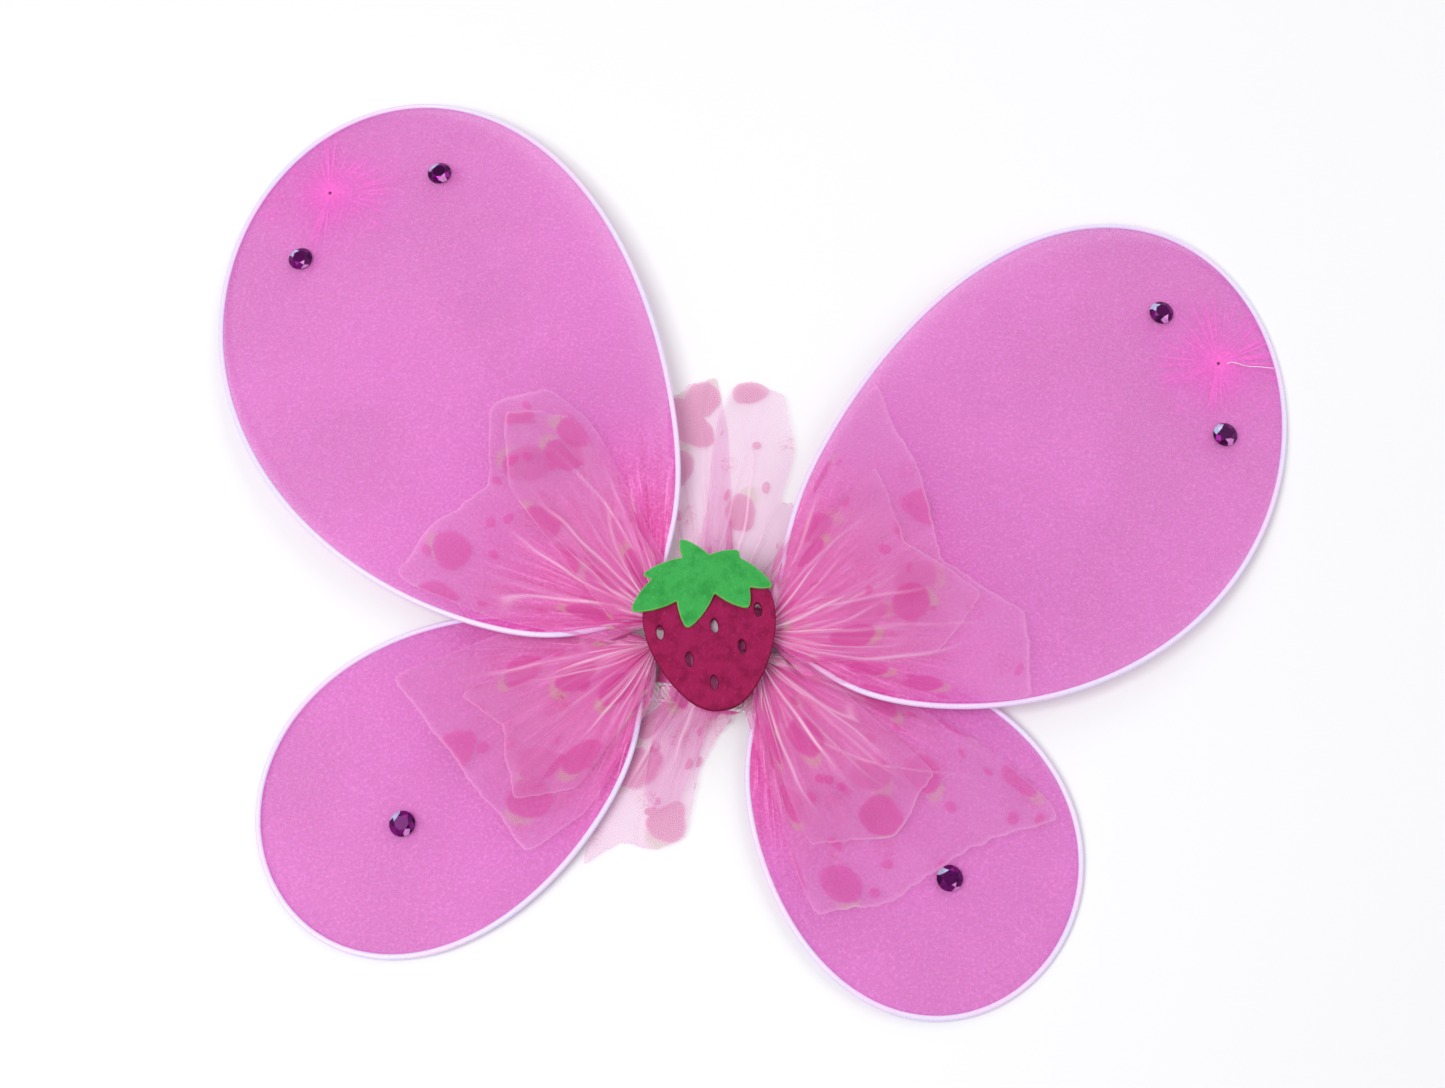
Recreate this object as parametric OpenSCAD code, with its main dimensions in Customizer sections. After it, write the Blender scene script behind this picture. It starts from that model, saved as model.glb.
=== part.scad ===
// Child's fairy wings with a felt strawberry at the centre, lying on their back.
// X runs along the span, Y towards the upper wings and Z out of the decorated front.
// The origin is the centre of the back pad's rear face. Sizes are in millimetres.

/* [Upper wings] */
// Length from root to tip, left and right
upper_length = [265, 248]; // [235:1:285]
// Fullness: half the width near the middle, left and right
upper_fullness = [109, 107.5]; // [90:0.5:118]
// Lean of the outline towards the top edge, as a share of the length, left and right
upper_lean = [0.21, 0.27]; // [0.15:0.01:0.3]
// Angle above the horizontal, left and right
upper_angle = [33, 24]; // [20:1:38]
// Height of the arch along the wing
upper_arch = 5; // [3:0.5:8]

/* [Lower wings] */
// Length from root to tip, left and right
lower_length = [177, 164]; // [150:1:185]
// Fullness: half the width near the middle
lower_fullness = 71.5; // [60:0.5:78]
// Lean of the outline towards the upper wing, as a share of the length
lower_lean = -0.06; // [-0.12:0.01:0]
// Angle from the horizontal, left and right
lower_angle = [-36, -38]; // [-42:1:-34]

/* [Wire and cover] */
// Radius of the covered wire
wire_r = 1.2; // [0.9:0.1:1.2]
// Thickness of the stretched cover, two layers of nylon and the air between them
cover_t = 1.2; // [0.8:0.1:1.4]
// Radius of the wrapped ball at each wing's root
root_ball_r = 3; // [2.8:0.1:3.2]

/* [Strawberry] */
// Half width of the felt berry
berry_half_w = 25.5; // [24:0.5:28]
// Half height of the felt berry
berry_half_h = 30; // [27:0.5:32]
// Tilt of the berry, its stem towards the left wing
berry_tilt = 15.4; // [0:0.1:20]
// Thickness of the berry's felt
berry_felt = 3; // [2:0.1:3.5]
// Thickness of the leaves' felt
leaf_felt = 2; // [1:0.1:2.5]

/* [Rhinestones] */
// Diameter across the girdle
gem_d = 10.4; // [8:0.1:11]
// Height above the cover
gem_h = 3; // [2:0.1:3.5]

/* [Back pad and straps] */
// Width and height of the felt pad that rests on the wearer's back
pad_size = [38, 55]; // [36:1:62]
// Thickness of the pad
pad_t = 2; // [1.5:0.1:2]
// Width of the flat elastic
strap_w = 8; // [5:0.5:9]
// Thickness of the flat elastic
strap_t = 0.9; // [0.7:0.1:1]
// How far each arm loop reaches out from its hinge line when it lies flat
strap_reach = 83; // [80:1:110]

/* [Hidden] */
$fn = 48;
LEFT = -1;
RIGHT = 1;

// Heights of the centre's layers
upper_root_z = 9.8;
lower_root_z = 6.3;
knot_z = [13.3, 17.6];
tie_top = 18.4;
glue_top = 19.2;
berry_z = glue_top;
leaf_z = berry_z + berry_felt;
floor_gap = 0.3;

// The roots, where the wings turn
root_x = 20;
root_y = 4.5;
wire_start = 4.5;
cover_start = 9;
neck_reach = 14;
cover_gap = 0.12;
core_r = 2.6;
core_end = root_x - root_ball_r - 0.25;
wrap_r = 3.4;
wrap_end = 14;

// A wing is [length, fullness, sharpness of the root, lean, height of the root, arch]
function upper(side) = [pick(upper_length, side), pick(upper_fullness, side), 0.5,
    pick(upper_lean, side), upper_root_z, upper_arch];
function lower(side) = [pick(lower_length, side), lower_fullness, 0.55, lower_lean, lower_root_z, 0];
function pick(pair, side) = side == LEFT ? pair[0] : pair[1];

// The outline: t runs from 0 at the root, through 180 at the tip, back to 360
function along(wing, t) = wing[0] * (1 - cos(t)) / 2;
function neck(s) = 1 - exp(-pow(s / neck_reach, 1.5));
function across(wing, t) = neck(along(wing, t))
    * (wing[1] * sin(t) * pow(sin(t / 2), wing[2]) + wing[3] * along(wing, t));
function height(wing, s) = wing[4] + (wire_r - wing[4]) * s / wing[0] + wing[5] * sin(180 * s / wing[0]);
function rim(wing, t) = [along(wing, t), across(wing, t), height(wing, along(wing, t))];
function start_angle(wing, s) = acos(1 - 2 * s / wing[0]);
function unit(v) = v / norm(v);
function heading(wing, t) = unit(rim(wing, t + 0.5) - rim(wing, t - 0.5));

// A wing's own frame: X from the root to the tip, Y across, turned and mirrored into place
module on_wing(side, y, angle) {
    if (side == LEFT) mirror([1, 0, 0]) translate([root_x, y, 0]) rotate([0, 0, angle]) children();
    else translate([root_x, y, 0]) rotate([0, 0, angle]) children();
}
module on_upper(side) { on_wing(side, root_y, pick(upper_angle, side)) children(); }
module on_lower(side) { on_wing(side, -root_y, pick(lower_angle, side)) children(); }

// Ribbon of triangles between two closed rings of n points that start at a and b
function band(a, b, n) = [for (k = [0:n - 1]) let (j = (k + 1) % n)
    each [[a + k, b + k, a + j], [a + j, b + k, b + j]]];

// Wire: a round section swept along the rim, open at the root
wire_rings = 72;
wire_sides = 8;
module wire_loop(wing) {
    from = start_angle(wing, wire_start);
    step = (360 - 2 * from) / (wire_rings - 1);
    points = [for (i = [0:wire_rings - 1]) let (
            t = from + i * step,
            forward = heading(wing, t),
            outward = unit(cross(forward, [0, 0, 1])),
            upward = cross(outward, forward))
        for (k = [0:wire_sides - 1]) let (a = 360 * k / wire_sides)
            rim(wing, t) + wire_r * (cos(a) * outward + sin(a) * upward)];
    sides = [for (i = [0:wire_rings - 2]) each band(i * wire_sides, (i + 1) * wire_sides, wire_sides)];
    last = (wire_rings - 1) * wire_sides;
    polyhedron(points, concat(sides,
        [[for (k = [0:wire_sides - 1]) k]],
        [[for (k = [wire_sides - 1:-1:0]) last + k]]));
}

// Cover: a plate that fills the wire loop and stops just short of the wire
cover_points = 64;
module cover_plate(wing) {
    from = start_angle(wing, cover_start);
    step = (360 - 2 * from) / (cover_points - 1);
    inset = wire_r + cover_gap;
    edge = [for (k = [0:cover_points - 1]) let (t = from + k * step, h = heading(wing, t))
        rim(wing, t) + inset * unit([h[1], -h[0], 0])];
    half = [0, 0, cover_t / 2];
    n = cover_points;
    // Strips across the wing join each point of one edge to its partner on the other
    top = [for (k = [0:n / 2 - 2]) each [[k, k + 1, n - 1 - k], [k + 1, n - 2 - k, n - 1 - k]]];
    bottom = [for (f = top) [n + f[2], n + f[1], n + f[0]]];
    polyhedron(concat([for (p = edge) p + half], [for (p = edge) p - half]),
        concat(top, bottom, band(0, n, n)));
}

// Root wrap: a ball that turns at the joint and a short sleeve over the two wire ends
sleeve_l = 8;
sleeve_r = 2.7;
ball_steps = 14;
module root_wrap(wing) {
    sleeve_from = acos(sleeve_r / root_ball_r);
    ball = [for (i = [0:ball_steps]) let (a = -90 + (90 + sleeve_from) * i / ball_steps)
        root_ball_r * [cos(a), sin(a)]];
    translate([0, 0, wing[4]]) rotate([0, 90, 0]) rotate_extrude()
        polygon(concat(ball, [[sleeve_r, sleeve_l], [0, sleeve_l]]));
}

// Tulle laid over a wing: a fan whose outer edge is a list of [radius, bearing]
tulle_t = 0.8;
tulle_start = 22;
tulle_lift = wire_r + 0.4;
upper_tulle_z = upper_root_z + 1.5 + tulle_lift;
module tulle_fan(rim_points) {
    low = rim_points[0][1];
    high = rim_points[len(rim_points) - 1][1];
    inner = [for (i = [0:4]) let (b = high + (low - high) * i / 4) tulle_start * [cos(b), sin(b)]];
    outer = [for (p = rim_points) p[0] * [cos(p[1]), sin(p[1])]];
    linear_extrude(tulle_t) polygon(concat(outer, inner));
}
module upper_tulle(side, rim_points) {
    color("pink") on_upper(side) translate([0, 0, upper_tulle_z]) tulle_fan(rim_points);
}
module lower_tulle(side, rim_points) {
    slope = atan((lower_root_z - wire_r) / pick(lower_length, side));
    color("pink") on_lower(side) translate([0, 0, lower_root_z + tulle_lift])
        rotate([0, slope, 0]) tulle_fan(rim_points);
}

// Rhinestone: flat back, straight girdle, sloping crown and flat table
gem_clear = 0.05;
module gem(wing, at) {
    r = gem_d / 2;
    s = at[0];
    rise = height(wing, s + 0.5) - height(wing, s - 0.5);
    translate([s, at[1], height(wing, s)]) rotate([0, -atan(rise), 0])
        translate([0, 0, cover_t / 2 + gem_clear]) rotate_extrude()
            polygon([[0, 0], [0.9 * r, 0], [r, 0.2 * gem_h], [r, 0.35 * gem_h],
                [0.56 * r, gem_h], [0, gem_h]]);
}

// Pinch knot: the tied toe of the nylon tube, tucked behind the cover
pinch_r = 2.3;
pinch_h = 1.8;
module pinch_knot(wing, at) {
    s = at[0];
    rise = height(wing, s + 0.5) - height(wing, s - 0.5);
    translate([s, at[1], height(wing, s)]) rotate([0, -atan(rise), 0])
        translate([0, 0, -cover_t / 2 - pinch_h - gem_clear]) cylinder(r = pinch_r, h = pinch_h);
}

// Places on the wings, as [along, across]
function gem_high_at(side) = side == LEFT ? [209, 92] : [207, 89];
function gem_low_at(side) = side == LEFT ? [227, 23] : [213, 29];
function pinch_at(side) = side == LEFT ? [241, 55] : [223, 61];
function lower_gem_at(side) = side == LEFT ? [122, -15] : [115, -8];

// One wing's pieces
nylon = [0.96, 0.5, 0.8];
wire_colour = [0.93, 0.9, 0.98];
module upper_wire(side) { color(wire_colour) on_upper(side) wire_loop(upper(side)); }
module lower_wire(side) { color(wire_colour) on_lower(side) wire_loop(lower(side)); }
module upper_cover(side) { color(nylon) on_upper(side) cover_plate(upper(side)); }
module lower_cover(side) { color(nylon) on_lower(side) cover_plate(lower(side)); }
module upper_root_wrap(side) { color("hotpink") on_upper(side) root_wrap(upper(side)); }
module lower_root_wrap(side) { color("hotpink") on_lower(side) root_wrap(lower(side)); }
module upper_gem(side, at) { color("purple") on_upper(side) gem(upper(side), at); }
module lower_gem(side) { color("purple") on_lower(side) gem(lower(side), lower_gem_at(side)); }
module upper_pinch(side) { color("hotpink") on_upper(side) pinch_knot(upper(side), pinch_at(side)); }

// Twisted wire tails that the wings turn on
module wire_core(y, z) {
    color("gainsboro") translate([-core_end, y, z]) rotate([0, 90, 0]) cylinder(r = core_r, h = 2 * core_end);
}
module upper_wire_core() { wire_core(root_y, upper_root_z); }
module lower_wire_core() { wire_core(-root_y, lower_root_z); }

// Ribbon wound round both cores
bore_clear = 0.05;
module binding_wrap() {
    rise = upper_root_z - lower_root_z;
    gap = norm([2 * root_y, rise]);
    color("hotpink") translate([-wrap_end, 0, (upper_root_z + lower_root_z) / 2])
        rotate([90, 0, 90]) rotate([0, 0, atan(rise / (2 * root_y))]) linear_extrude(2 * wrap_end)
            difference() {
                union() {
                    square([gap, 2 * wrap_r], center = true);
                    for (e = [-1, 1]) translate([e * gap / 2, 0]) circle(r = wrap_r);
                }
                for (e = [-1, 1]) translate([e * gap / 2, 0]) circle(r = core_r + bore_clear);
            }
}

// Gathered middle of the printed tulle, on top of the wrapped cores
knot_half = [15, 8.1];
module tulle_knot() {
    r = (knot_z[1] - knot_z[0]) / 2;
    color("pink") hull() for (x = [-1, 1], y = [-1, 1])
        translate([x * (knot_half[0] - r), y * (knot_half[1] - r), knot_z[0] + r]) sphere(r = r, $fn = 24);
}

// Band that ties the tulle down on the cores
tie_half_w = 2.5;
tie_t = 0.8;
tie_inside = 8.4;
tie_bottom = pad_t + 0.05;
module centre_tie() {
    inner_h = tie_top - tie_bottom - 2 * tie_t;
    color("white") translate([-tie_half_w, 0, tie_bottom]) rotate([90, 0, 90])
        linear_extrude(2 * tie_half_w) difference() {
            translate([-tie_inside - tie_t, 0]) square([2 * (tie_inside + tie_t), tie_top - tie_bottom]);
            translate([-tie_inside, tie_t]) square([2 * tie_inside, inner_h]);
        }
}

glue_r = 9;
module glue_pad() { color("ivory") translate([0, 0, tie_top]) cylinder(r = glue_r, h = glue_top - tie_top); }

// Berry: round shoulders that draw in to a blunt tip
berry_points = 72;
berry_shift = 1.2;
berry_drop = 2;
function berry_edge(a) = [
    berry_half_w * sign(sin(a)) * pow(abs(sin(a)), 0.85) * (1 + 0.28 * cos(a)) + berry_shift,
    berry_half_h * cos(a) - berry_drop];
seed_w = 3;
seed_l = 6;
seeds = [[20.8, 6.5], [2.7, 2.4], [-19, 2.6], [12.4, -7.6], [-9, -10], [-0.5, -20.6]];
module seed_hole() {
    run = (seed_l - seed_w) / 2;
    square([seed_w, 2 * run], center = true);
    for (e = [-1, 1]) translate([0, e * run]) circle(d = seed_w);
}
module strawberry() {
    color("crimson") translate([0, 0, berry_z]) rotate([0, 0, berry_tilt]) linear_extrude(berry_felt)
        difference() {
            polygon([for (i = [0:berry_points - 1]) berry_edge(360 * i / berry_points)]);
            for (s = seeds) translate(s) seed_hole();
        }
}

// Leaves: tips and notches in turn, joined by curves that bow outwards
leaf_corners = [[-6.2, 39.8], [4.6, 31.3], [16.5, 31.9], [16.7, 28.5], [28.5, 14.6], [18.6, 16],
    [17.2, 6.9], [4.6, 15.3], [-8.2, 1.8], [-10.6, 14.2], [-29.9, 11.9], [-19.2, 24.6],
    [-23.1, 27], [-6.2, 31.5]];
leaf_bow = 0.14;
leaf_steps = 5;
function bowed(a, b, u) = let (m = (a + b) / 2 + leaf_bow * [a[1] - b[1], b[0] - a[0]])
    (1 - u) * (1 - u) * a + 2 * u * (1 - u) * m + u * u * b;
module calyx() {
    n = len(leaf_corners);
    edge = [for (i = [0:n - 1], k = [0:leaf_steps - 1])
        bowed(leaf_corners[i], leaf_corners[(i + 1) % n], k / leaf_steps)];
    color("limegreen") translate([0, 0, leaf_z]) rotate([0, 0, berry_tilt])
        linear_extrude(leaf_felt) polygon(edge);
}

// Loose tulle between the wings: a slope down from the knot and a flat piece on the ground
tail_t = 1;
tail_half_w = 6;
module tulle_tail(direction, outline) {
    top = [9.6, 15];
    foot = 36;
    color("mistyrose") {
        translate([-tail_half_w, 0, 0]) rotate([90, 0, 90]) linear_extrude(2 * tail_half_w)
            polygon([[direction * top[0], top[1]], [direction * top[0], top[1] + tail_t],
                [direction * foot, floor_gap + tail_t], [direction * foot, floor_gap]]);
        translate([0, 0, floor_gap]) linear_extrude(tail_t) polygon(outline);
    }
}
module tulle_tail_top() {
    tulle_tail(1, [[-8, 34], [-22, 62], [-31, 97], [-29, 106], [-20, 117], [3, 115], [13, 88],
        [19, 62], [8, 34]]);
}
module tulle_tail_bottom() {
    tulle_tail(-1, [[-8, -34], [-22, -52], [-40, -97], [-24, -84], [-11, -85], [2, -80], [6, -52],
        [8, -34]]);
}

// Back pad: felt with round corners, made of a cross of two slabs and four discs
pad_corner = 8;
module back_pad() {
    w = pad_size[0];
    h = pad_size[1];
    color("hotpink") linear_extrude(pad_t) {
        square([w - 2 * pad_corner, h], center = true);
        square([w, h - 2 * pad_corner], center = true);
        for (x = [-1, 1], y = [-1, 1]) translate([x * (w / 2 - pad_corner), y * (h / 2 - pad_corner)])
            circle(r = pad_corner);
    }
}

// Elastic: tabs stitched to the pad, and arm loops that swing at the pad's edge
tab_gap = 0.05;
tab_from = 6;
tab_to = 19.4;
strap_y = 22;
strap_hinge = [20.2, pad_t + tab_gap];
slope_run = 20;
module strap_tab(side, up) {
    color("whitesmoke") translate([side > 0 ? tab_from : -tab_to, up * strap_y - strap_w / 2, strap_hinge[1]])
        cube([tab_to - tab_from, strap_w, strap_t]);
}
module strap(side) {
    x0 = strap_hinge[0];
    z0 = strap_hinge[1];
    x1 = x0 + slope_run;
    x2 = x0 + strap_reach;
    profile = [[x0, z0], [x0, z0 + strap_t], [x1, strap_t], [x2, strap_t], [x2, 0], [x1, 0]];
    color("whitesmoke") rotate([90, 0, 0]) {
        for (up = [-1, 1]) translate([0, 0, up * strap_y - strap_w / 2])
            linear_extrude(strap_w) polygon([for (p = profile) [side * p[0], p[1]]]);
        translate([side > 0 ? x2 - strap_w : -x2, 0, -strap_y]) cube([strap_w, strap_t, 2 * strap_y]);
    }
}

back_pad();
strap_tab(LEFT, 1);  // strap_tab_top_left
strap_tab(LEFT, -1);  // strap_tab_bottom_left
strap_tab(RIGHT, 1);  // strap_tab_top_right
strap_tab(RIGHT, -1);  // strap_tab_bottom_right
strap(LEFT);  // left_strap
strap(RIGHT);  // right_strap
upper_wire_core();
lower_wire_core();
binding_wrap();
tulle_knot();
centre_tie();
glue_pad();
strawberry();
calyx();
tulle_tail_top();
tulle_tail_bottom();
upper_root_wrap(LEFT);  // left_upper_root_wrap
upper_wire(LEFT);  // left_upper_wire
upper_cover(LEFT);  // left_upper_cover
upper_pinch(LEFT);  // left_upper_pinch_knot
upper_tulle(LEFT, [[109, -31], [101, -16], [92, -1], [118, 12], [111, 24], [89, 30]]);  // left_upper_tulle
upper_gem(LEFT, gem_high_at(LEFT));  // left_upper_gem_high
upper_gem(LEFT, gem_low_at(LEFT));  // left_upper_gem_low
upper_root_wrap(RIGHT);  // right_upper_root_wrap
upper_wire(RIGHT);  // right_upper_wire
upper_cover(RIGHT);  // right_upper_cover
upper_pinch(RIGHT);  // right_upper_pinch_knot
upper_tulle(RIGHT, [[111, -31], [107, -12], [80, 6], [94, 28], [121, 50]]);  // right_upper_tulle
upper_gem(RIGHT, gem_high_at(RIGHT));  // right_upper_gem_high
upper_gem(RIGHT, gem_low_at(RIGHT));  // right_upper_gem_low
lower_root_wrap(LEFT);  // left_lower_root_wrap
lower_wire(LEFT);  // left_lower_wire
lower_cover(LEFT);  // left_lower_cover
lower_tulle(LEFT, [[73, -40], [97, -31], [92, -11], [96, 8], [108, 22]]);  // left_lower_tulle
lower_gem(LEFT);  // left_lower_gem
lower_root_wrap(RIGHT);  // right_lower_root_wrap
lower_wire(RIGHT);  // right_lower_wire
lower_cover(RIGHT);  // right_lower_cover
lower_tulle(RIGHT, [[105, -33], [110, -16], [112, 2], [136, 18], [99, 24]]);  // right_lower_tulle
lower_gem(RIGHT);  // right_lower_gem
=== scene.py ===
"""Looks of a child's fairy wings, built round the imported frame. Units are metres; sizes are written in
millimetres times MM. X runs along the span, Y towards the upper wings, Z out of the decorated front."""
import math
import random

import bpy
import numpy as np
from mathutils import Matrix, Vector, noise


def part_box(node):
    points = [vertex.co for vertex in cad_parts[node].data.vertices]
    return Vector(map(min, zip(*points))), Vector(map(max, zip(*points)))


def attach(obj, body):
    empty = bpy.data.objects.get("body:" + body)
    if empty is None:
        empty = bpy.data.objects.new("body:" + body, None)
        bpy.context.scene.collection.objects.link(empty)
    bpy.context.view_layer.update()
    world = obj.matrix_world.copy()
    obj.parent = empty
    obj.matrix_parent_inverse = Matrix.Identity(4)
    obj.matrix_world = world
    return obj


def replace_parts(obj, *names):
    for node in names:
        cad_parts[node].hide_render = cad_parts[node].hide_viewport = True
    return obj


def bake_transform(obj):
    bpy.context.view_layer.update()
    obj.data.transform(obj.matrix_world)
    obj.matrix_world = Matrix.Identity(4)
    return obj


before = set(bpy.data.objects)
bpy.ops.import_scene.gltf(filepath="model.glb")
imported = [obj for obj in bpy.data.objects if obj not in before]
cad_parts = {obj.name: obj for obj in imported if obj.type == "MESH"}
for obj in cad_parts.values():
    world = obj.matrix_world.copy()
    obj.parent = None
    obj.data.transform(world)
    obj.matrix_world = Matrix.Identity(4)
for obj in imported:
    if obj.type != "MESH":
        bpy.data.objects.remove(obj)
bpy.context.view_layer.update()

MM = 0.001
LEFT, RIGHT = -1, 1


# ---- meshes

def add_object(name, data):
    made = bpy.data.objects.new(name, data)
    bpy.context.scene.collection.objects.link(made)
    return made


def new_piece(name, points, faces, material, smooth=True, uv=None):
    """A mesh object from points and faces. uv holds one pair per point."""
    mesh = bpy.data.meshes.new(name)
    mesh.from_pydata([tuple(p) for p in points], [], [tuple(f) for f in faces])
    mesh.update()
    mesh.polygons.foreach_set("use_smooth", [smooth] * len(mesh.polygons))
    if uv is not None:
        loops = np.empty(len(mesh.loops), np.int32)
        mesh.loops.foreach_get("vertex_index", loops)
        layer = mesh.uv_layers.new(name="flat")
        layer.data.foreach_set("uv", np.asarray(uv, np.float32)[loops].ravel())
    mesh.materials.append(material)
    return add_object(name, mesh)


def grid_faces(rows, columns, closed=False):
    """Quads of a grid of points stored row by row. closed joins the last column to the first."""
    faces = []
    for a in range(0, (rows - 1) * columns, columns):
        for c in range(columns - (not closed)):
            d = (c + 1) % columns
            faces.append((a + c, a + d, a + columns + d, a + columns + c))
    return faces


def ring_faces(rows, columns, caps=1):
    """Faces of a skin of rings. caps closes its ends, signed by the way that the rings run, or is 0."""
    faces = grid_faces(rows, columns, closed=True)
    if caps:
        ends = range(columns), range((rows - 1) * columns, rows * columns)
        faces += [tuple(end)[::step] for end, step in zip(ends, (caps, -caps))]
    return faces


def slab_faces(rows, columns, closed=False):
    """Faces of a grid, of its copy stored after it that faces the other way, and of the sides between."""
    grid, count = grid_faces(rows, columns, closed), rows * columns
    edges = [([r * columns + c % columns for c in range(columns + closed)], step)
             for r, step in ((0, -1), (rows - 1, 1))]
    if not closed:
        edges += [(range(c, count, columns), step) for c, step in ((0, 1), (columns - 1, -1))]
    sides = [(i, j, j + count, i + count)[::step] for edge, step in edges for i, j in zip(edge, edge[1:])]
    return grid + [tuple(i + count for i in f[::-1]) for f in grid] + sides


def ringed_piece(name, rows, columns, place, material, caps=1, uv=None):
    """A piece made of rings. place(v, a) gives a point from its share of the length and its angle."""
    points = [place(r / (rows - 1), 2 * math.pi * c / columns) for r in range(rows) for c in range(columns)]
    return new_piece(name, points, ring_faces(rows, columns, caps), material, uv=uv)


def tubes(paths, radius, sides):
    """Points and faces of round tubes with flat ends. radius is one number, or one for each path point."""
    points, faces = [], []
    for path in paths:
        start = len(points)
        ahead = np.gradient(path, axis=0)
        ahead /= np.linalg.norm(ahead, axis=1, keepdims=True)
        for centre, forward, r in zip(path, ahead, np.broadcast_to(radius, len(path))):
            up = np.array([0, 0, 1.0]) if abs(forward[2]) < 0.9 else np.array([0, 1.0, 0])
            across = np.cross(forward, up)
            across /= np.linalg.norm(across)
            up = np.cross(across, forward)
            for a in (2 * math.pi * k / sides for k in range(sides)):
                points.append(centre + r * (math.cos(a) * across + math.sin(a) * up))
        faces += [tuple(start + i for i in f[::-1]) for f in ring_faces(len(path), sides, caps=-1)]
    return points, faces


def noisy(points, scale, seed):
    """Smooth noise from -1 to 1 at each point, at features of about scale metres."""
    shift = Vector((seed * 13.7, seed * 5.3, seed * 9.1))
    return np.array([noise.fractal(Vector(p) / scale + shift, 0.6, 2.0, 2) for p in points])


def add_values(mesh, name, values, domain="POINT"):
    """Stores one number for each point or face, which a material reads by name."""
    attribute = mesh.attributes.new(name, "FLOAT", domain)
    attribute.data.foreach_set("value", np.asarray(values, np.float32).ravel())


def smoothstep(low, high, x):
    t = np.clip((np.asarray(x, float) - low) / (high - low), 0, 1)
    return t * t * (3 - 2 * t)


def turned(x, y, angle):
    c, d = math.cos(angle), math.sin(angle)
    return x * c - y * d, x * d + y * c


def finish_piece(piece, body, slot, *nodes):
    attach(piece, body)
    if nodes:
        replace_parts(piece, *nodes)


# ---- node helpers

class Shader:
    """A material's node tree, with short calls for the nodes that the materials here need."""

    def __init__(self, name):
        self.material = bpy.data.materials.new(name)
        self.material.use_nodes = True
        self.tree = self.material.node_tree
        self.bsdf = self.tree.nodes["Principled BSDF"]

    def link(self, value, socket):
        """Joins an output to a socket, or sets the socket to a number, a vector or a colour."""
        if isinstance(value, bpy.types.NodeSocket):
            self.tree.links.new(value, socket)
        else:
            socket.default_value = (*value, 1) if socket.type == "RGBA" else value

    def node(self, kind, **inputs):
        """A new node, with its inputs set by their names."""
        made = self.tree.nodes.new("ShaderNode" + kind)
        for name, value in inputs.items():
            self.link(value, made.inputs[name])
        return made

    def coordinates(self):
        return self.node("TexCoord").outputs["Object"]

    def flat_coordinates(self):
        """Where a point is on the flat cloth that a piece was cut from."""
        node = self.node("UVMap")
        node.uv_map = "flat"
        return node.outputs[0]

    def math(self, operation, a, b=0.0, c=0.0, clamp=False):
        node = self.node("Math")
        node.operation, node.use_clamp = operation, clamp
        for value, socket in zip((a, b, c), node.inputs):
            self.link(value, socket)
        return node.outputs[0]

    def times(self, a, b):
        return self.math("MULTIPLY", a, b)

    def highest(self, a, b):
        return self.math("MAXIMUM", a, b)

    def weighted(self, total, *terms):
        """total plus each value times its weight."""
        for value, weight in terms:
            total = self.math("MULTIPLY_ADD", value, weight, total)
        return total

    def vector(self, operation, a, b=(0, 0, 0)):
        node = self.node("VectorMath")
        node.operation = operation
        self.link(a, node.inputs[0])
        self.link(b, node.inputs[1])
        return node.outputs["Value" if operation == "LENGTH" else "Vector"]

    def shifted(self, base, by, share):
        """base moved by share times another vector."""
        return self.vector("ADD", base, self.vector("MULTIPLY", by, (share, share, share)))

    def offset(self, here, point):
        """The way from a point to here, in plan."""
        return self.vector("MULTIPLY", self.vector("SUBTRACT", here, tuple(point)), (1, 1, 0))

    def noise(self, vector, scale, detail=2.0, roughness=0.5, output=0):
        """Output 0 is one noise, and output 1 is three at once, as a vector from 0 to 1."""
        node = self.node("TexNoise", Vector=vector, Scale=scale, Detail=detail, Roughness=roughness)
        return node.outputs[output]

    def attribute(self, name):
        node = self.node("Attribute")
        node.attribute_name = name
        return node.outputs["Fac"]

    def voronoi(self, vector, scale, randomness=1.0, feature="F1"):
        node = self.node("TexVoronoi", Scale=scale, Randomness=randomness)
        node.feature, node.voronoi_dimensions = feature, "2D"
        self.link(vector, node.inputs["Vector"])
        return node.outputs["Distance"]

    def ramp(self, value, low, high, from_value=0.0, to_value=1.0):
        """value mapped smoothly so that low gives from_value and high gives to_value."""
        node = self.node("MapRange", **{"Value": value, "From Min": low, "From Max": high,
                                        "To Min": from_value, "To Max": to_value})
        node.interpolation_type = "SMOOTHSTEP"
        return node.outputs[0]

    def layers(self, colour, *coats):
        """A colour with others laid over it in turn. Each coat is its share and its colour."""
        for share, coat in coats:
            node = self.node("Mix")
            node.data_type = "RGBA"
            for value, socket in ((share, 0), (colour, 6), (coat, 7)):
                self.link(value, node.inputs[socket])
            colour = node.outputs[2]
        return colour

    def bump(self, height, strength, distance):
        node = self.node("Bump", Height=height, Strength=strength, Distance=distance)
        self.link(node.outputs[0], self.bsdf.inputs["Normal"])

    def finish(self, **values):
        """The material, with the shader's own sockets set: base_color, roughness, sheen_weight and so on."""
        for name, value in values.items():
            self.link(value, self.bsdf.inputs[name.replace("_", " ").title().replace("Ior", "IOR")])
        return self.material


def srgb(*screen):
    """A screen colour, 0 to 255, as the linear colour that the shaders take."""
    return tuple(c / 255 / 12.92 if c <= 10 else ((c / 255 + 0.055) / 1.055) ** 2.4 for c in screen)


# ---- wings

ROOT_X, ROOT_Y = 20 * MM, 4.5 * MM
UPPER_Z, LOWER_Z = 9.8 * MM, 6.3 * MM
WIRE_R = 1.2 * MM
NECK = 14 * MM


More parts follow.
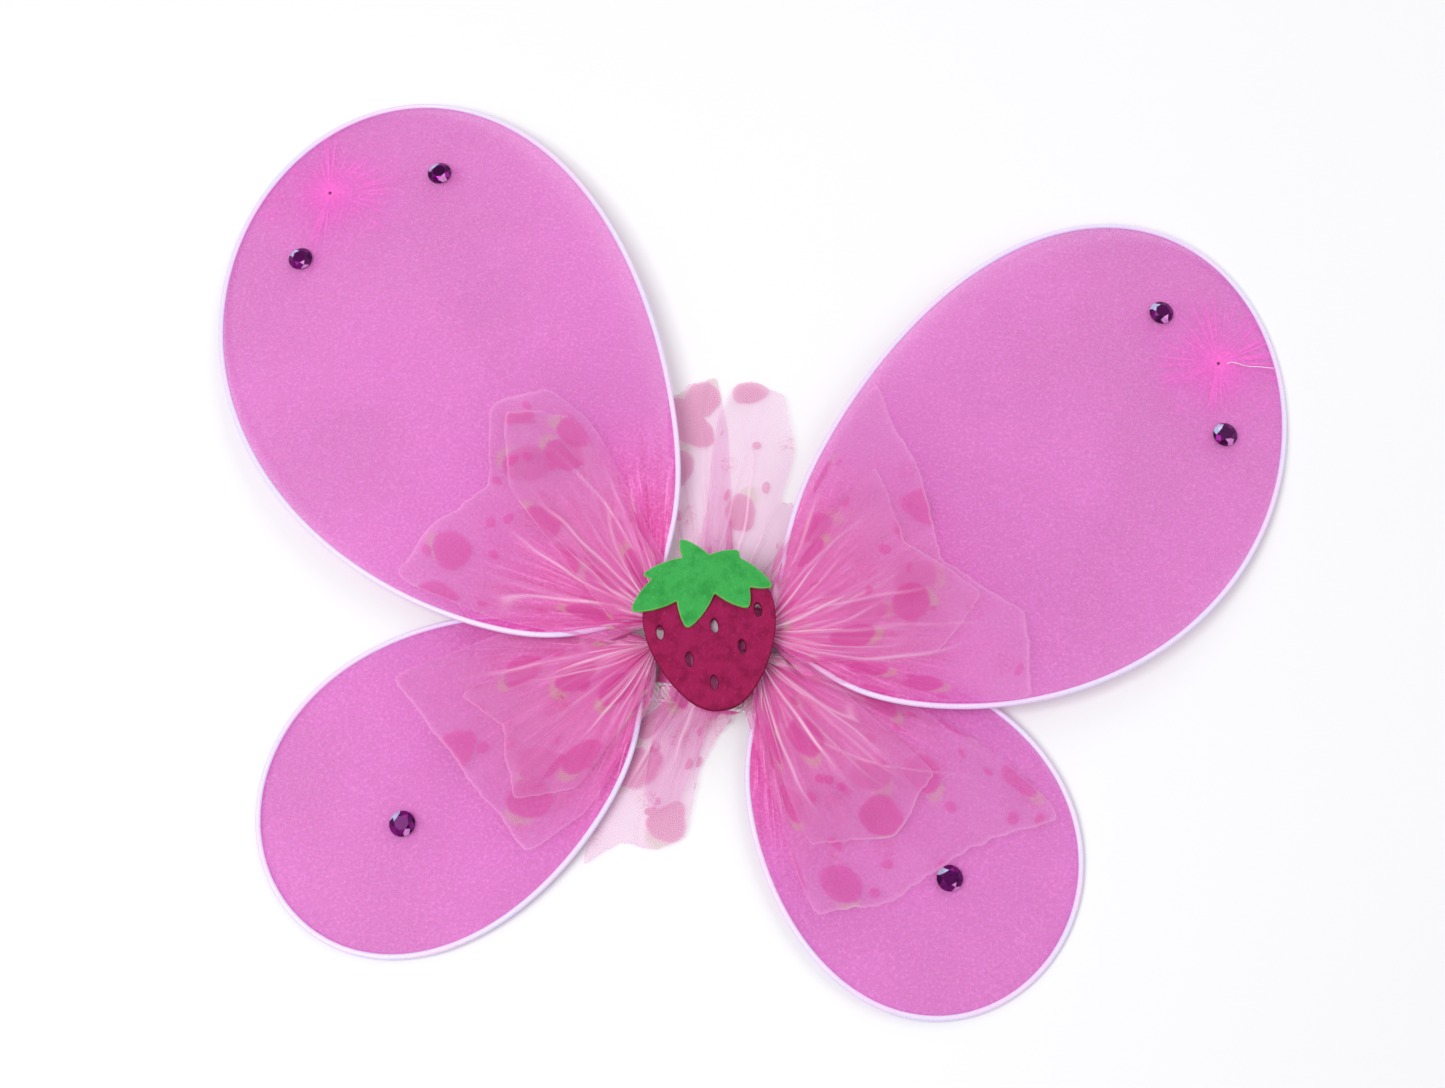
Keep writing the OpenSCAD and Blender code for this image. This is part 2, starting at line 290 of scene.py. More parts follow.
class Wing:
    """One wing's outline. t runs from 0 at the root, through pi at the tip, back to 2 pi."""

    def __init__(self, name, side, row, degrees, length, fullness, sharpness, lean, arch, gems, pinch=None):
        """Lengths and places are given in mm."""
        self.name, self.side, self.row = name, side, row
        self.angle, self.sharpness, self.lean = math.radians(degrees), sharpness, lean
        self.length, self.fullness, self.arch = length * MM, fullness * MM, arch * MM
        self.gems = [(s * MM, w * MM) for s, w in gems]
        self.pinch = pinch and (pinch[0] * MM, pinch[1] * MM)
        self.root_z = UPPER_Z if row > 0 else LOWER_Z

    def rim(self, t):
        t = np.asarray(t, float)
        s = self.length * (1 - np.cos(t)) / 2
        neck = 1 - np.exp(-((s / NECK) ** 1.5))
        w = self.fullness * np.sin(t) * np.abs(np.sin(t / 2)) ** self.sharpness + self.lean * s
        return s, w * neck

    def height(self, s):
        u = np.clip(np.asarray(s, float) / self.length, 0, 1)
        return self.root_z + (WIRE_R - self.root_z) * u + self.arch * np.sin(np.pi * u)

    def place(self, s, w, z):
        """Points of the row frame from distances along and across the wing and heights."""
        x, y = turned(s, w, self.angle)
        x, y = self.side * (ROOT_X + x), self.row * ROOT_Y + y
        return np.stack([x, y, np.broadcast_to(z, np.shape(x))], -1)

    def point(self, s, w):
        return self.place(np.float64(s), np.float64(w), self.height(s))


UPPER_LEFT = Wing("left_upper", LEFT, 1, 33, 265, 109, 0.5, 0.21, 5, [(209, 92), (227, 23)], (241, 55))
UPPER_RIGHT = Wing("right_upper", RIGHT, 1, 24, 248, 107.5, 0.5, 0.27, 5, [(207, 89), (213, 29)], (223, 61))
LOWER_LEFT = Wing("left_lower", LEFT, -1, -36, 177, 71.5, 0.55, -0.06, 0, [(122, -15)])
LOWER_RIGHT = Wing("right_lower", RIGHT, -1, -38, 164, 71.5, 0.55, -0.06, 0, [(115, -8)])


# ---- materials

PALE_NYLON = srgb(222, 94, 198)
HOT_NYLON = srgb(235, 60, 165)
# The deep and light nylon colours give the knit's own darker and paler specks, and also the painted shade and
# painted highlight on the root's pleat streaks.
DEEP_KNIT_AND_SHADE_NYLON = srgb(206, 40, 130)
PALE_KNIT_AND_HIGHLIGHT_NYLON = srgb(255, 165, 232)


def nylon_material(w):
    """Sheer knitted nylon: denser and hotter where it is gathered, with streaks from the root and pinch. The
    root's lighter and darker streaks are painted highlight and painted shade on its pleats.
    """
    m = Shader("nylon_" + w.name)
    here = m.coordinates()
    away = m.offset(here, w.point(2 * MM, 0))
    reach = m.vector("LENGTH", away)
    bearing = m.vector("NORMALIZE", away)
    streaks = m.noise(m.shifted(bearing, away, 1.6), 15.0, 4.0, 0.65)
    fine = m.noise(m.shifted(bearing, away, 0.5), 50.0, 2.0, 0.6)
    gather = m.math("EXPONENT", m.math("DIVIDE", reach, -42 * MM))
    drawn = m.ramp(reach, 92 * MM, 30 * MM)
    cloudy = m.noise(here, 16.0, 3.0)
    grain = m.noise(here, 760.0, 2.0, 0.7)
    # light: painted highlights along the root's pleat streaks and finer streaks, also made denser in the
    # alpha below; dark: painted shade between the pleats.
    light = m.times(m.ramp(streaks, 0.52, 0.68), drawn)
    light = m.math("ADD", light, m.times(m.ramp(fine, 0.58, 0.7), drawn), clamp=True)
    dark = m.times(m.ramp(streaks, 0.47, 0.33), drawn)
    colour = m.layers(
        PALE_NYLON, (m.ramp(cloudy, 0.35, 0.65), srgb(230, 108, 208)),
        (m.ramp(reach, 100 * MM, 14 * MM), HOT_NYLON), (dark, DEEP_KNIT_AND_SHADE_NYLON),
        (m.times(light, 0.75), PALE_KNIT_AND_HIGHLIGHT_NYLON), (m.ramp(grain, 0.5, 0.68, 0.0, 0.3), PALE_KNIT_AND_HIGHLIGHT_NYLON),
        (m.ramp(grain, 0.5, 0.32, 0.0, 0.25), DEEP_KNIT_AND_SHADE_NYLON))
    alpha = m.weighted(0.21, (grain, 0.3), (cloudy, 0.12), (gather, 0.42), (light, 0.22))
    if w.pinch:
        spread = m.offset(here, w.point(*w.pinch))
        gap = m.vector("LENGTH", spread)
        rays = m.ramp(m.noise(m.vector("NORMALIZE", spread), 12.0, 3.0, 0.7), 0.49, 0.57)
        fade = m.times(m.ramp(gap, 40 * MM, 6 * MM), m.ramp(m.noise(here, 60.0, 1.0), 0.3, 0.6))
        near = m.math("EXPONENT", m.math("DIVIDE", gap, -9 * MM))
        glow = m.highest(near, m.times(m.times(rays, fade), 0.8))
        knot = m.ramp(gap, 1.1 * MM, 0.4 * MM)
        colour = m.layers(colour, (glow, srgb(255, 112, 214)), (knot, srgb(120, 40, 90)))
        alpha = m.weighted(alpha, (glow, 0.45))
    m.bump(grain, 0.25, 0.15 * MM)
    return m.finish(base_color=colour, alpha=m.math("MINIMUM", m.highest(alpha, 0.05), 0.97), roughness=0.6,
                    sheen_weight=0.2, sheen_roughness=0.4, specular_ior_level=0.25)


def tulle_material():
    """Fine net printed with strawberries, dots and small curls. It reads the flat cloth's own coordinates."""
    m = Shader("printed_tulle")
    flat = m.flat_coordinates()
    at = m.shifted(flat, m.vector("SUBTRACT", m.noise(flat, 55.0, output=1), (0.5, 0.5, 0.5)), 0.007)

    def marks(shift, spacing, randomness, edge, core):
        """Round marks, one to a cell, that fade in from edge to core, as shares of the spacing."""
        return m.ramp(m.voronoi(m.vector("ADD", at, shift), 1 / spacing, randomness), edge, core)

    berry = marks((0, 0, 0), 37 * MM, 0.8, 0.245, 0.2)
    leaf = m.times(marks((0.002, -7 * MM, 0), 37 * MM, 0.8, 0.17, 0.1), m.math("SUBTRACT", 1.0, berry))
    dot = m.times(marks((0.5, 0.2, 0), 19 * MM, 0.9, 0.14, 0.1), m.ramp(m.noise(flat, 50.0, 0.0), 0.45, 0.5))
    wave = m.math("ABSOLUTE", m.math("SUBTRACT", m.noise(flat, 420.0, 1.0), 0.5))
    curl = m.times(m.ramp(wave, 0.04, 0.02), marks((0.31, 0.77, 0), 30 * MM, 0.8, 0.17, 0.13))
    thread = m.ramp(m.voronoi(flat, 1 / (0.9 * MM), feature="DISTANCE_TO_EDGE"), 0.16, 0.04)
    crease, hem, crowd = (m.attribute(name) for name in ("crease", "hem", "crowd"))
    solid, pale = m.highest(berry, dot), m.highest(crease, hem)
    colour = m.layers(
        srgb(232, 150, 210), (m.ramp(m.noise(flat, 45.0), 0.35, 0.65), srgb(224, 136, 200)),
        (crowd, srgb(248, 104, 192)), (m.times(leaf, 0.6), srgb(196, 176, 138)),
        (m.times(curl, 0.8), srgb(222, 84, 152)), (m.times(solid, 0.92), srgb(214, 76, 160)),
        (m.times(pale, 0.8), srgb(255, 226, 246)))
    inked = m.highest(solid, m.times(m.highest(leaf, curl), 0.6))
    alpha = m.weighted(0.17, (thread, 0.12), (inked, 0.22), (crowd, 0.3), (pale, 0.32))
    m.bump(thread, 0.2, 0.1 * MM)
    return m.finish(base_color=colour, alpha=m.math("MINIMUM", alpha, 0.92), roughness=0.65,
                    sheen_weight=0.12, specular_ior_level=0.3)


def felt_material(name, *screen_colours):
    """Matted wool felt: faintly mottled, with short crossing fibres, a soft bloom and a last colour on its
    steep cut edges and hole walls: painted shade on the strawberry, painted highlight on the calyx, a paler
    edge on the pad.
    """
    colour, light, dark, edge = (srgb(*screen) for screen in screen_colours)
    m = Shader(name)
    here = m.coordinates()
    warped = m.shifted(here, m.noise(here, 260.0, output=1), 0.0035)
    strands = m.noise(m.vector("MULTIPLY", warped, (1.0, 0.3, 1.0)), 1170.0, 3.0, 0.7)
    crossed = m.noise(m.vector("MULTIPLY", warped, (0.3, 1.0, 1.0)), 1260.0, 3.0, 0.7)
    # The last coat paints edge on the cut walls: painted shade on the strawberry, painted highlight on the
    # calyx.
    shade = m.layers(
        dark, (m.ramp(m.noise(here, 180.0, 3.0, 0.6), 0.3, 0.6), colour),
        (m.ramp(strands, 0.52, 0.75, 0.0, 0.6), light), (m.ramp(crossed, 0.48, 0.25, 0.0, 0.5), dark),
        (m.times(m.attribute("cut"), 0.75), edge))
    m.bump(m.math("ADD", strands, crossed), 0.5, 0.25 * MM)
    return m.finish(base_color=shade, roughness=0.95, sheen_weight=0.25, sheen_roughness=0.6,
                    specular_ior_level=0.1, sheen_tint=colour)


def wire_material():
    """White covered wire, with the knit of the nylon over it as faint rings and a lilac cast."""
    m = Shader("covered_wire")
    here = m.coordinates()
    knit = m.noise(here, 1500.0, 1.0)
    colour = m.layers(
        srgb(222, 212, 246), (m.ramp(m.noise(here, 30.0, 3.0), 0.35, 0.65), srgb(232, 206, 238)),
        (m.ramp(knit, 0.52, 0.68, 0.0, 0.35), srgb(196, 170, 218)))
    m.bump(knit, 0.3, 0.1 * MM)
    return m.finish(base_color=colour, roughness=m.ramp(m.noise(here, 220.0, 3.0, 0.7), 0.3, 0.7, 0.32, 0.5),
                    sheen_weight=0.15, coat_weight=0.15)


def wound_material(name, colour, pale):
    """Ribbon or thread wound round and round: fine ridges across and a silky shine."""
    m = Shader(name)
    here = m.coordinates()
    strands = m.noise(m.vector("MULTIPLY", here, (1.0, 0.2, 0.2)), 1600.0, 2.0, 0.6)
    shade = m.layers(
        colour, (m.ramp(strands, 0.4, 0.7), pale),
        (m.ramp(m.noise(here, 160.0), 0.6, 0.3, 0.0, 0.35), tuple(c * 0.5 for c in colour)))
    m.bump(strands, 0.5, 0.2 * MM)
    return m.finish(base_color=shade, roughness=0.5, sheen_weight=0.3, specular_ior_level=0.4)


def elastic_material():
    """Braided elastic: lengthwise cords crossed by a fine zigzag of thread."""
    m = Shader("braided_elastic")
    flat = m.flat_coordinates()
    node = m.node("TexWave", Vector=flat, Scale=260.0, Distortion=0.6)
    node.wave_type, node.bands_direction, node.wave_profile = "BANDS", "DIAGONAL", "SIN"
    braid = node.outputs[1]
    shade = m.layers(
        srgb(206, 204, 204), (braid, srgb(246, 245, 243)),
        (m.ramp(m.noise(flat, 70.0, 3.0), 0.55, 0.75, 0.0, 0.3), srgb(214, 204, 208)))
    m.bump(braid, 0.5, 0.15 * MM)
    return m.finish(base_color=shade, roughness=0.8, sheen_weight=0.3, specular_ior_level=0.2)


def gem_material():
    """Foil-backed purple crystal: facets from dark to mid purple as painted reflections, with a painted
    bluish glint on one side and a painted pink one opposite.
    """
    m = Shader("purple_rhinestone")
    value = m.attribute("facet")
    # facet holds each face's painted light, from facet_light.
    colour = m.layers(
        srgb(64, 6, 64), (m.ramp(value, 0.1, 0.75), srgb(132, 18, 124)),
        (m.ramp(value, 0.78, 0.84), srgb(236, 150, 226)), (m.ramp(value, 0.9, 0.98), srgb(206, 214, 250)),
        (m.ramp(m.noise(m.coordinates(), 700.0, 1.0), 0.5, 0.7, 0.0, 0.3), srgb(30, 2, 38)))
    return m.finish(base_color=colour, metallic=0.55, roughness=0.22, coat_weight=0.06, coat_roughness=0.04,
                    specular_ior_level=0.15)


def glue_material():
    m = Shader("hot_glue")
    # The grey-lilac is darkened as painted shade, seen through the strawberry's seed holes.
    cloud = m.noise(m.coordinates(), 260.0)
    return m.finish(base_color=m.layers(srgb(188, 168, 184), (cloud, srgb(212, 196, 208))),
                    roughness=m.ramp(cloud, 0.3, 0.7, 0.2, 0.4), coat_weight=0.3)


TULLE = tulle_material()
WIRE = wire_material()
PINK_WRAP = wound_material("pink_wrap", srgb(224, 62, 150), srgb(255, 150, 214))
WHITE_RIBBON = wound_material("white_ribbon", srgb(226, 214, 224), srgb(252, 246, 250))
PINK_THREAD = wound_material("pink_thread", srgb(226, 70, 150), srgb(250, 150, 205))
WHITE_THREAD = wound_material("white_thread", srgb(236, 222, 236), srgb(255, 250, 255))
# The strawberry's last colour darkens its cut rim and seed-hole walls as painted shade; the calyx's lightens
# its cut edge as painted highlight.
BERRY_FELT = felt_material("berry_felt", (146, 28, 76), (168, 50, 100), (124, 20, 62), (104, 16, 52))
LEAF_FELT = felt_material("leaf_felt", (60, 158, 76), (84, 180, 94), (48, 140, 64), (124, 200, 92))
PAD_FELT = felt_material("pad_felt", (228, 96, 166), (240, 136, 190), (210, 74, 144), (240, 150, 200))
ELASTIC = elastic_material()
GEM = gem_material()
GLUE = glue_material()


# ---- wire loops

WIRE_START = 4.5 * MM
WIRE_RINGS = 300


def wire_loop(w):
    first = math.acos(1 - 2 * WIRE_START / w.length)
    s, across = w.rim(np.linspace(first, 2 * math.pi - first, WIRE_RINGS))
    path = w.place(s, across, w.height(s))
    points, faces = tubes([path], WIRE_R * (0.96 + 0.03 * noisy(path, 9 * MM, 3)), 14)
    finish_piece(new_piece(w.name + "_covered_wire", points, faces, WIRE), w.name, "wire", w.name + "_wire")


# ---- nylon covers

FRONT, BACK = 1, -1
PLEATS = ((71, 0.9, 0.45), (97, 2.1, 0.35), (133, 4.4, 0.2))
COVER_START, ROOT_SHARE = 6 * MM, 0.018
RELAXED = 0.8


def pleat(bearing, shift):
    """The gathers' height at a bearing, from waves given as a count, a phase and a share."""
    return sum(share * np.sin(count * bearing + phase + shift) for count, phase, share in PLEATS)


def cover_samples(w):
    """Rim angles and shares of the way out from the root, closer together round the pinch."""
    first = math.acos(1 - 2 * COVER_START / w.length)
    t = np.linspace(first, 2 * math.pi - first, 300 if w.row > 0 else 230)
    if w.pinch:
        everywhere = np.linspace(first, 2 * math.pi - first, 4000)
        s, across = w.rim(everywhere)
        aim = math.atan2(w.pinch[1], w.pinch[0])
        target = everywhere[np.argmin(np.abs(np.arctan2(across, s) - aim))]
        t = np.unique(np.round(np.concatenate([t, target + np.linspace(-0.16, 0.16, 90)]), 3))
    u = np.linspace(0, 1, 78 if w.row > 0 else 52)
    share = 0.5 * u + 0.5 * (3 * u * u - 2 * u ** 3)
    return t, ROOT_SHARE + (1 - ROOT_SHARE) * share


def inner_rim(w, t):
    """The outline moved in by most of the wire's radius, so that the nylon meets the wire's inner side."""
    s, across = w.rim(t)
    ds, dw = np.gradient(s, t), np.gradient(across, t)
    inset = 1.0 * MM / np.hypot(ds, dw)
    return s + inset * dw, across - inset * ds


def cover_sheet(w, face, material):
    """One layer of the stretched nylon tube, from the gathered root to the wire."""
    t, v = cover_samples(w)
    rim_s, rim_w = inner_rim(w, t)
    s, across = v[:, None] * rim_s, v[:, None] * rim_w
    reach = np.hypot(s, across)
    inside = 1 - np.exp((v[:, None] - 1) * np.hypot(rim_s, rim_w) / (5 * MM))
    lift = 0.45 * MM + 0.12 * MM * inside
    lift += 1.0 * MM * np.exp(-reach / (11 * MM)) * inside
    fold = 0.8 * MM * np.exp(-reach / (34 * MM)) * (1 - np.exp(-reach / (5 * MM))) * inside
    lift += fold * (0.6 + pleat(np.arctan2(rim_w, rim_s), 0.0 if face == FRONT else 1.7))
    if w.pinch:
        ds, dw = s - w.pinch[0], across - w.pinch[1]
        gap, turn = np.hypot(ds, dw), np.arctan2(dw, ds)
        dip = 0.22 * MM * np.exp(-gap / (12 * MM)) * np.sin(23 * turn)
        dip -= 0.8 * MM * np.exp(-((gap / (3.5 * MM)) ** 2))
        lift += dip if face == FRONT else -0.3 * dip
    z = np.maximum(w.height(s) + face * lift, 0.05 * MM)
    points = w.place(s, across, z).reshape(-1, 3)
    faces = grid_faces(len(v), len(t))
    layer = "front" if face == FRONT else "back"
    piece = new_piece(f"{w.name}_nylon_{layer}", points, [f[::-face * w.side] for f in faces], material)
    finish_piece(piece, w.name, "nylon")
    relaxed = (RELAXED * w.length, RELAXED * float(np.ptp(rim_w)))
    return piece


# ---- printed tulle

def outline_radius(corners, bearings):
    """The rim's radius at each bearing, straight between corners given as (radius, bearing)."""
    angles = np.radians([c[1] for c in corners])
    spots = np.array([[r * math.cos(a), r * math.sin(a)] for (r, _), a in zip(corners, angles)]) * MM
    radii = []
    for b in bearings:
        k = int(np.clip(np.searchsorted(angles, b) - 1, 0, len(angles) - 2))
        p, q = spots[k], spots[k + 1]
        ray = np.array([math.cos(b), math.sin(b)])
        edge = q - p
        cross = ray[0] * edge[1] - ray[1] * edge[0]
        radii.append((p[0] * edge[1] - p[1] * edge[0]) / cross if abs(cross) > 1e-9 else np.hypot(*p))
    return np.array(radii)


def crease_lines(rng, u, v, across, count):
    """Thin pressed folds that run out from the knot, each as its own slightly slanting line."""
    lines = np.zeros(np.broadcast(u, v).shape)
    for _ in range(count):
        start, drift, reach = rng.uniform(0.03, 0.97), rng.gauss(0, 0.16), rng.uniform(0.35, 1.0)
        offset = (u - start - drift * v) * across / (rng.uniform(0.45, 0.8) * MM)
        fade = smoothstep(reach, 0.6 * reach, v) * rng.uniform(0.25, 0.9)
        lines = np.maximum(lines, fade * np.exp(-offset ** 2))
    return lines


def tulle_fan(name, corners, surface, start, pleats, seed, lift, flow=2.2, creases=16,
              ceiling=None):
    """A gathered fan of tulle. surface(s, w, u) gives the points that it lies on, start is its first radius.
    ceiling(points) gives heights that keep it under what passes over it."""
    rng = random.Random(seed)
    low, high = math.radians(corners[0][1]), math.radians(corners[-1][1])
    columns, rows = 170, 60
    u = np.linspace(0, 1, columns)
    outer = outline_radius(corners, low + (high - low) * u)
    outer = np.convolve(np.pad(outer, 2, "edge"), np.ones(5) / 5, "valid")
    ragged = np.ones(columns)
    for size, count, layer in ((0.022, 13, 0), (0.008, 55, 4)):
        ragged += size * np.array([noise.noise(Vector((count * x, seed, layer))) for x in u])
    outer = outer * ragged
    v = np.linspace(0, 1, rows)[:, None]
    radius = start + v * (outer - start)
    phases = [rng.uniform(0, 2 * math.pi) for _ in range(6)]
    shift = 0.012 * np.sin(9 * v + phases[0]) + 0.006 * np.sin(23 * v + phases[1])
    turn = low + (high - low) * u + shift * np.sin(np.pi * u)
    x = u + 0.012 * np.sin(7 * v + phases[5])
    wave = 2 * np.pi * x
    sharp = np.sin(pleats * wave + phases[2]) + 0.45 * np.sin(1.73 * pleats * wave + phases[3])
    depth = 0.85 * MM * np.exp(-radius / (34 * MM)) + 0.25 * MM
    soft = np.sin(3.1 * wave + 3 * v + phases[4]) * smoothstep(0.2, 1, v)
    loose = flow * MM * 0.5 * (1 + soft) * smoothstep(0.15, 0.9, v)
    curl = 1.2 * MM * smoothstep(0.9, 1.0, v) * (0.5 + 0.5 * np.sin(2 * np.pi * 2.3 * u + phases[1]))
    lines = crease_lines(rng, u, v, radius * (high - low), creases)
    points = surface(radius * np.cos(turn), radius * np.sin(turn), u)
    points[..., 2] += lift + depth * (1.1 + 0.7 * sharp) + loose + curl + 0.3 * MM * lines
    if ceiling:
        points[..., 2] = ceiling(points)
    width = (high - low) * float(np.mean(outer)) * 1.02
    share = np.cumsum(outer) / np.sum(outer)
    flat_u = width * (0.5 + (share - 0.5) * (0.25 + 0.75 * v))
    flat_v = v * (outer - start)
    uv = np.stack([flat_u + seed * 0.037, flat_v + seed * 0.053], -1).reshape(-1, 2)
    piece = new_piece(name, points.reshape(-1, 3), grid_faces(rows, columns), TULLE, uv=uv)
    steep = np.abs(np.gradient(depth * sharp, axis=1)) / (radius * abs(high - low) / columns)
    add_values(piece.data, "crowd", np.clip(0.3 * steep + 0.75 * np.exp(-radius / (26 * MM)), 0, 1))
    add_values(piece.data, "crease", lines)
    hem = np.maximum(smoothstep(0.985, 1, v), smoothstep(0.986, 1, 2 * np.abs(u - 0.5)))
    add_values(piece.data, "hem", 0.38 * hem)
    return piece


# corners of each fan's wide and narrow layers: radius in mm, bearing in degrees
UPPER_FANS = {
    LEFT: (((24, -62), (66, -40), (109, -31), (101, -16), (92, -1), (118, 12), (111, 24), (89, 31), (22, 58)),
           ((20, -40), (84, 2), (112, 14), (96, 27), (20, 52))),
    RIGHT: (((24, -62), (74, -39), (111, -31), (107, -12), (80, 6), (94, 28), (121, 50), (24, 66)),
            ((22, -52), (72, -24), (92, -6), (70, 16), (88, 40), (22, 60))),
}
LOWER_FANS = {
    LEFT: (((22, -58), (73, -40), (97, -31), (92, -11), (96, 8), (108, 22), (60, 34), (22, 56)),
           ((20, -50), (66, -34), (84, -20), (70, 0), (82, 14), (20, 46))),
    RIGHT: (((22, -58), (105, -33), (110, -16), (112, 2), (136, 18), (99, 24), (22, 56)),
            ((20, -50), (78, -30), (90, -8), (84, 12), (20, 44))),
}


def wing_surface(w, knot_height):
    """Where tulle lies on a wing: it leaves the knot at knot_height and settles on the cover."""
    def surface(s, across, u):
        reach = np.hypot(s, across)
        rest = w.height(s) + WIRE_R + 0.3 * MM
        blend = smoothstep(6 * MM, 34 * MM, reach)
        return w.place(s, across, knot_height * (1 - blend) + rest * blend)
    return surface


FAN_SWINGS = (0, 4, 8)  # degrees


def under_wing(w):
    """Heights pressed down where upper wing w passes over, at rest and as the lower wing swings to it."""
    t = np.linspace(math.pi + 0.05, 2 * math.pi - 0.3, 400)
    edge_s, edge_w = w.rim(t)
    radii, bearings = np.hypot(edge_s, edge_w), np.arctan2(edge_w, edge_s)
    order = np.argsort(radii)

    def ceiling(points):
        x, y = w.side * points[..., 0] - ROOT_X, points[..., 1] + ROOT_Y
        z = points[..., 2]
        for swing in np.radians(FAN_SWINGS):
            s, across = turned(x, y, swing - w.angle)
            s, across = s - 2 * ROOT_Y * math.sin(w.angle), across - 2 * ROOT_Y * math.cos(w.angle)
            reach = np.hypot(s, across)
            gap = reach * (np.interp(reach, radii[order], bearings[order]) - np.arctan2(across, s))
            beneath = smoothstep(4 * MM + 0.12 * reach, 2.5 * MM, gap)
            clearance = 1.0 * MM + 1.5 * MM * np.exp(-np.maximum(s, 0) / (30 * MM))
            z = z + (np.minimum(z, w.height(s) - clearance) - z) * beneath
        return z
    return ceiling


def wing_tulle(w, above=None):
    """Two layers of tulle on a wing. On a lower wing they are attached to it; on an upper wing their
    transform is baked in and they stay where they lie.
    """
    fans = (UPPER_FANS if w.row > 0 else LOWER_FANS)[w.side]
    knot_height = (11.8 if w.row > 0 else 9.2) * MM
    bend_start, bend_end = ((w.side * x * MM, 0, UPPER_Z) for x in (10, 38))
    for k, corners in enumerate(fans):
        name = f"{w.name}_tulle_{'wide' if k == 0 else 'narrow'}"
        seed = 3 + 5 * k + (7 if w.side == RIGHT else 0) + (11 if w.row < 0 else 0)
        surface = wing_surface(w, knot_height + 0.3 * k * MM)
        piece = tulle_fan(name, corners, surface, 3 * MM, 15 - 4 * k, seed, (0.3 + 0.6 * k) * MM,
                          ceiling=above and under_wing(above))
        if k == 0:
            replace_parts(piece, w.name + "_tulle")
        if w.row > 0:
            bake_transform(piece)
            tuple(bend_start)
            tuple(bend_end)
        else:
            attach(piece, w.name)


# each tail's bearing in degrees, and the corners of its under and over layers
TAILS = {
    "tulle_tail_top": (90, (
        ((34, -10), (97, 3), (117, 6), (115, 12), (108, 17), (66, 20), (34, 30)),
        ((34, -36), (64, -27), (71, -22), (68, -18), (90, -16), (112, -9), (118, -3), (116, 2), (99, 6),
         (60, 8), (34, 20)))),
    "tulle_tail_bottom": (-90, (
        ((34, -44), (58, -28), (104, -22), (87, -16), (86, -7), (79, 1), (52, 3), (37, 14), (33, 24)),
        ((34, -30), (66, -16), (72, -10), (66, -3), (34, 8)))),
}


def tail_surface(degrees):
    """Loose tulle that slopes from under the strawberry to the ground."""
    def surface(s, across, u):
        free = smoothstep(8 * MM, 40 * MM, s)
        spread = across * free + 13 * MM * (2 * u - 1) * (1 - free)
        x, y = turned(s, spread, math.radians(degrees))
        z = 13 * MM * (1 - smoothstep(6 * MM, 36 * MM, s)) + 0.25 * MM
        return np.stack([x, y, z], -1)
    return surface


def tails():
    for k, (node, (degrees, layers)) in enumerate(TAILS.items()):
        for layer, corners in enumerate(layers):
            name = node + ("_under" if layer == 0 else "_over")
            piece = tulle_fan(name, corners, tail_surface(degrees), 7 * MM, 8 - 2 * layer, 31 + 3 * k + layer,
                              (0.1 + 0.9 * layer) * MM, flow=1.0, creases=9)
            finish_piece(piece, "centre", "tulle")
            if layer == 0:
                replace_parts(piece, node)


# ---- felt

def cut_felt(name, outline, holes, low, high, material, bow=lambda x, y: 0):
    """Felt cut to an outline: rounded edges, and a surface matted by noise."""
    edge = 0.35 * MM
    curve = bpy.data.curves.new(name + "_cut", "CURVE")
    curve.dimensions, curve.fill_mode = "2D", "BOTH"
    curve.extrude = (high - low) / 2 - edge
    curve.bevel_depth, curve.bevel_resolution, curve.offset = edge, 2, -edge
    for ring in [outline, *holes]:
        spline = curve.splines.new("POLY")
        spline.points.add(len(ring) - 1)
        spline.use_cyclic_u = True
        for point, (x, y) in zip(spline.points, ring):
            point.co = (x, y, 0, 1)
    made = add_object(name + "_cut", curve)
    remesh = made.modifiers.new("felt", "REMESH")
    remesh.mode, remesh.voxel_size, remesh.use_smooth_shade = "VOXEL", 0.42 * MM, True
    relax = made.modifiers.new("relax", "SMOOTH")
    relax.factor, relax.iterations = 0.5, 3
    graph = bpy.context.evaluated_depsgraph_get()
    mesh = bpy.data.meshes.new_from_object(made.evaluated_get(graph), depsgraph=graph)
    bpy.data.objects.remove(made)
    mesh.name = name
    points = np.array([v.co for v in mesh.vertices], float)
    normals = np.array([v.normal for v in mesh.vertices], float)
    matting = 0.05 * MM * noisy(points, 1.1 * MM, 5) + 0.08 * MM * noisy(points, 6 * MM, 8)
    points += normals * matting[:, None]
    points[:, 2] += (low + high) / 2
    points[:, 2] += bow(points[:, 0], points[:, 1])
    mesh.vertices.foreach_set("co", points.astype(np.float32).ravel())
    mesh.update()
    mesh.polygons.foreach_set("use_smooth", [True] * len(mesh.polygons))
    mesh.materials.clear()
    mesh.materials.append(material)
    # cut marks the steep edges and hole walls, where the felt's last colour is painted: shade on the
    # strawberry, a highlight on the calyx.
    add_values(mesh, "cut", smoothstep(0.99, 0.75, np.abs(normals[:, 2])))
    return add_object(name, mesh)


# outlines in mm about the strawberry's middle, before it is tilted
BERRY_TILT = math.radians(15.4)
SEEDS = ((20.8, 6.5), (2.7, 2.4), (-19, 2.6), (12.4, -7.6), (-9, -10), (-0.5, -20.6))
LEAVES = ((-6.2, 39.8), (4.6, 31.3), (16.5, 31.9), (16.7, 28.5), (28.5, 14.6), (18.6, 16), (17.2, 6.9),
          (4.6, 15.3), (-8.2, 1.8), (-10.6, 14.2), (-29.9, 11.9), (-19.2, 24.6), (-23.1, 27), (-6.2, 31.5))


def tilted(points):
    return [turned(x * MM, y * MM, BERRY_TILT) for x, y in points]


